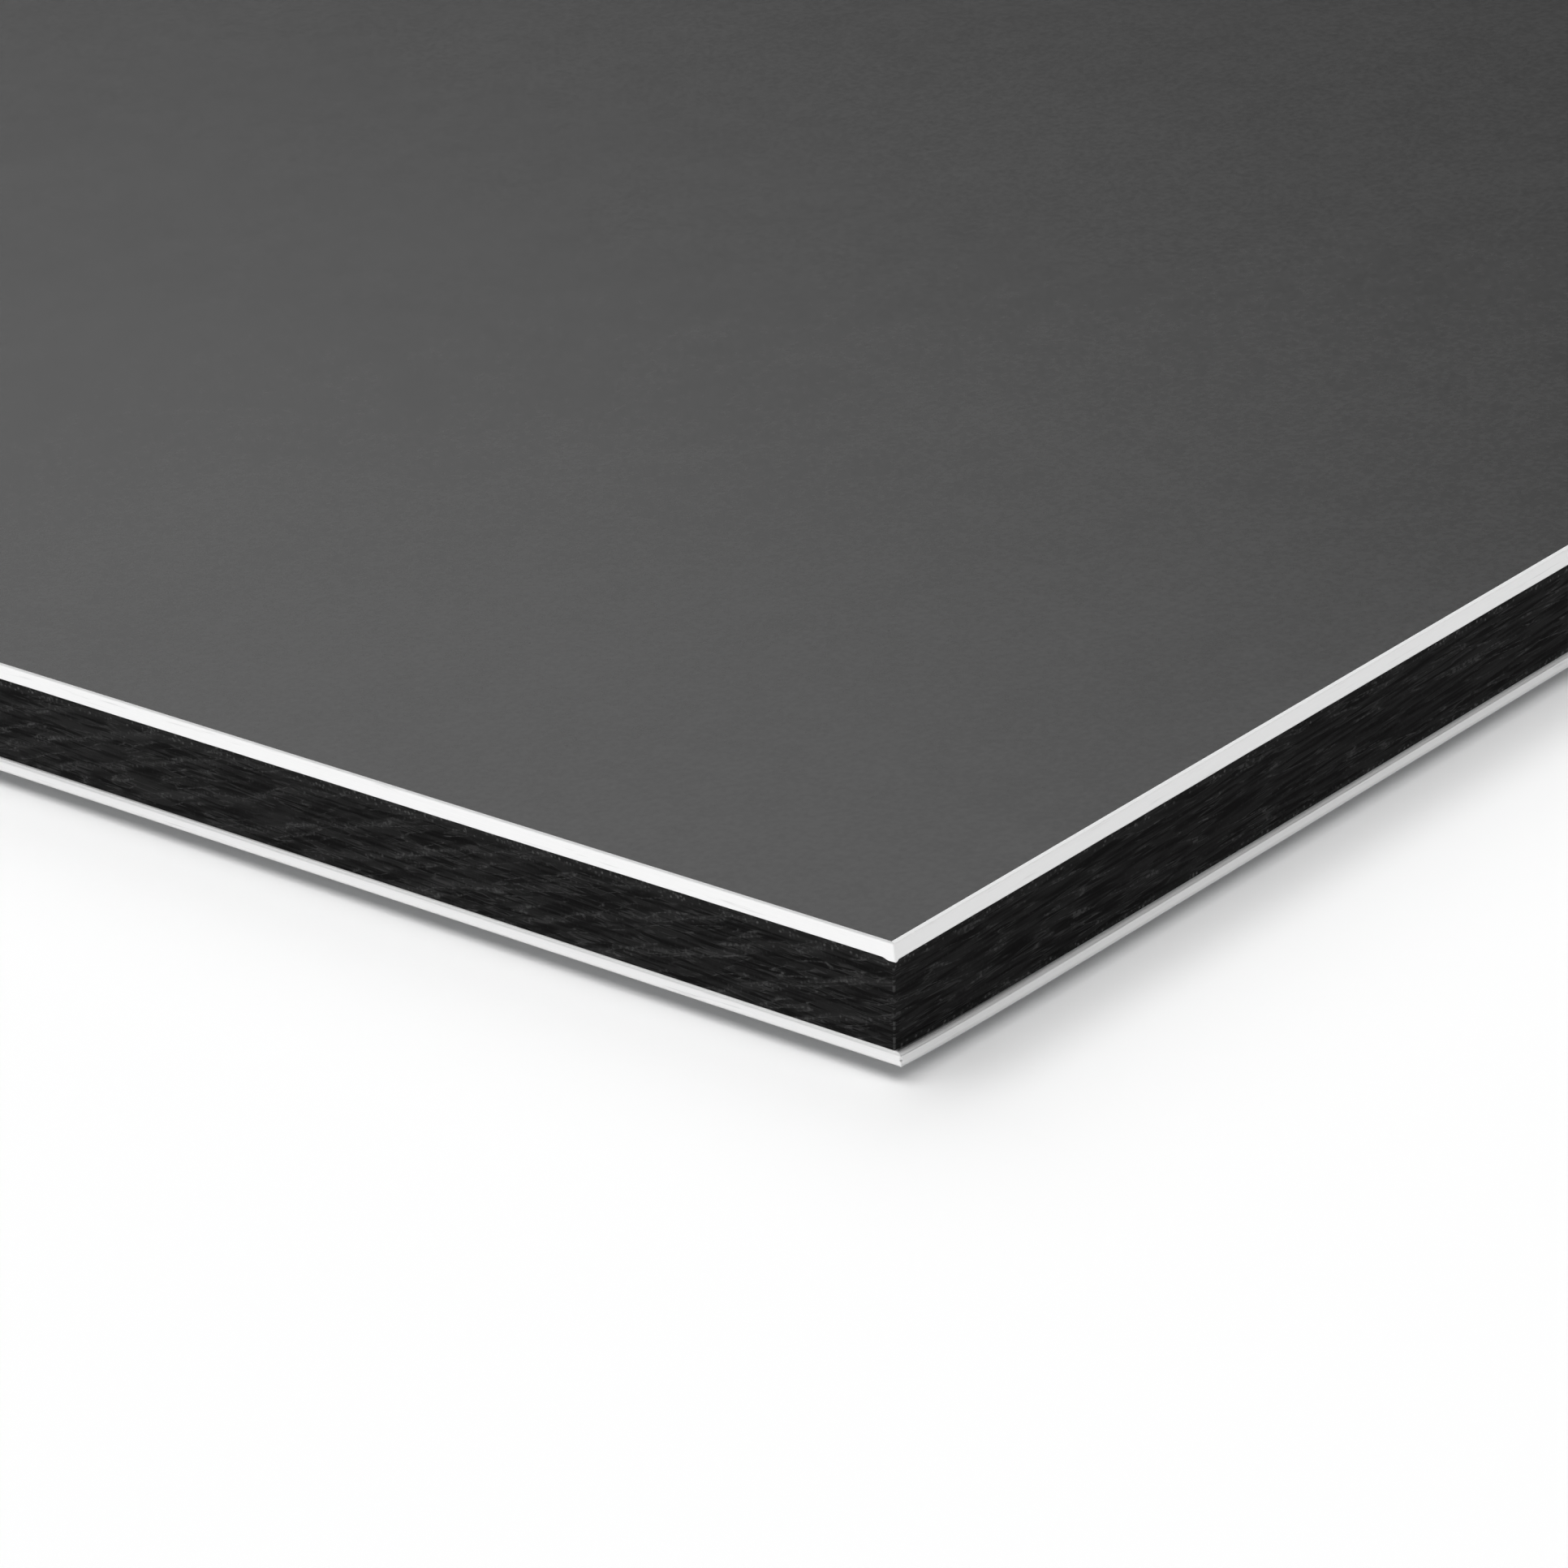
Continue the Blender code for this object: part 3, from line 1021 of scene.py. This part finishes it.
    # Painted shade on the ends, on the whole colour.
    tree.links.new(with_painted_shade(tree, tone, CORE_END_PAINTED_SHADE), shader.inputs["Base Color"])
    tree.links.new(spread(tree, fine["Streaks"], 0.3, 0.7, 0.72, 0.50), shader.inputs["Roughness"])
    ridges = maths(tree, "ADD", fine["Streaks"], maths(tree, "MULTIPLY", threads, 0.35))
    ridges = maths(tree, "ADD", ridges, maths(tree, "MULTIPLY", torn, 0.5))
    inputs = {"Height": ridges, "Distance": 0.014 * MM, "Strength": 1.0}
    tree.links.new(put(tree, "ShaderNodeBump", inputs).outputs[0], shader.inputs["Normal"])
    return material


sawn_core = make_sawn_core()

# %% [markdown]
# ## Put the finishes on
#
# The sheets have two finishes each. A face belongs to the flat upper or lower side if its middle
# is at that height, and to the cut edge otherwise.

# %% Finishes and places in the frame


def finish_flat(piece, flat, edge, height):
    """Gives the flat side at a height one finish, and all other faces another."""
    piece.data.materials.append(edge)
    piece.data.materials.append(flat)
    count = len(piece.data.polygons)
    middles = np.empty(count * 3)
    piece.data.polygons.foreach_get("center", middles)
    on_flat = np.abs(middles[2::3] - height) < 1e-7
    piece.data.polygons.foreach_set("material_index", on_flat.astype(np.int32))
    print(piece.name, "has", int(on_flat.sum()), "flat faces of", count)


finish_flat(face_skin, lacquer, cut_aluminium, PANEL_TOP)
finish_flat(back_skin, mill_finish, cut_aluminium, 0.0)
core_skin.data.materials.append(sawn_core)

for skin, node, slot in (
    (face_skin, "face_sheet", "lacquered_face"),
    (core_skin, "core", "core_plastic"),
    (back_skin, "back_sheet", "mill_back"),
):
    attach(skin, "root")
    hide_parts(node)

# %% [markdown]
# ## Floor
#
# The floor is plain and white. It is a wide sheet, so that it fills the picture from any side.
# Most of its white is its own colour under the lights, which keeps the panel's shadow. A small
# glow, for the camera and for reflections only, lifts it to full white. A cut sheet never lies
# perfectly flat, and its corner stands a hair clear of the floor, which gives the narrow dark
# line under the edge.

# %% Floor
FLOOR_HALF = 30.0
FLOOR_GAP = 0.51 * MM
FLOOR_COLOUR = 0.92
FLOOR_GLOW = 0.05


def make_floor():
    """One large square, with a diffuse white and a glow that only direct looks receive."""
    corners = np.array([(-1, -1), (1, -1), (1, 1), (-1, 1)]) * FLOOR_HALF
    points = np.column_stack([corners, np.full(4, -FLOOR_GAP)])
    mesh = bpy.data.meshes.new("floor")
    mesh.from_pydata(points, [], [(0, 1, 2, 3)])
    material = bpy.data.materials.new("white_floor")
    material.use_nodes = True
    tree = material.node_tree
    tree.nodes.clear()
    white = put(tree, "ShaderNodeBsdfDiffuse", {"Color": grey(FLOOR_COLOUR)}).outputs[0]
    path = put(tree, "ShaderNodeLightPath").outputs
    seen = maths(tree, "MAXIMUM", path["Is Camera Ray"], path["Is Glossy Ray"])
    seen = maths(tree, "MAXIMUM", seen, path["Is Transmission Ray"])
    strength = maths(tree, "MULTIPLY", seen, FLOOR_GLOW)
    glow = put(tree, "ShaderNodeEmission", {"Color": grey(1.0), "Strength": strength}).outputs[0]
    both = put(tree, "ShaderNodeAddShader", {0: white, 1: glow}).outputs[0]
    put(tree, "ShaderNodeOutputMaterial", {"Surface": both})
    mesh.materials.append(material)
    floor = bpy.data.objects.new("floor", mesh)
    bpy.context.scene.collection.objects.link(floor)


make_floor()

# %% [markdown]
# ## Light
#
# The photograph has soft light from large screens. A sun lamp with a wide angle is a screen that
# is so far away that it lights the whole floor evenly, and it still shows as a soft patch in
# satin lacquer. The levels are shares of full light on the floor, and they add up to about one,
# at which a colour renders as it is written.

# %% Lamps and world
SCREENS = (
    ("screen_left", 84.0, 72.0, 48.0, 0.48),
    ("screen_front", -28.0, 57.0, 39.0, 0.30),
    ("screen_back", 167.0, 44.0, 50.0, 0.155),
)
WORLD_LEVEL = 0.09
HORIZON_LEVEL = 0.30


def make_screen(name, turn, elevation, spread_angle, level):
    """A wide sun. Its turn is measured clockwise from the camera's side, seen from above."""
    azimuth = CAMERA_AZIMUTH - radians(turn)
    height = radians(elevation)
    towards = Vector((sin(azimuth) * cos(height), -cos(azimuth) * cos(height), sin(height)))
    data = bpy.data.lights.new(name, "SUN")
    data.angle = radians(spread_angle)
    data.energy = pi * level / sin(height)
    lamp = bpy.data.objects.new(name, data)
    lamp.rotation_mode = "QUATERNION"
    lamp.rotation_quaternion = towards.to_track_quat("Z", "Y")
    bpy.context.scene.collection.objects.link(lamp)
    return lamp


def make_world():
    """Pale at the horizon and dimmer above it, by the height of the direction."""
    world = bpy.data.worlds.new("studio")
    world.use_nodes = True
    tree = world.node_tree
    direction = put(tree, "ShaderNodeTexCoord").outputs["Generated"]
    height = put(tree, "ShaderNodeSeparateXYZ", {0: direction}).outputs["Z"]
    level = spread(tree, height, 0.02, 0.06, HORIZON_LEVEL, WORLD_LEVEL)
    background = tree.nodes["Background"]
    tree.links.new(level, background.inputs["Strength"])
    background.inputs["Color"].default_value = grey(1.0)
    bpy.context.scene.world = world


for screen in SCREENS:
    make_screen(*screen)
make_world()
bpy.context.scene.view_settings.view_transform = "Standard"
print("light on the floor adds up to", round(WORLD_LEVEL + sum(screen[-1] for screen in SCREENS), 2))
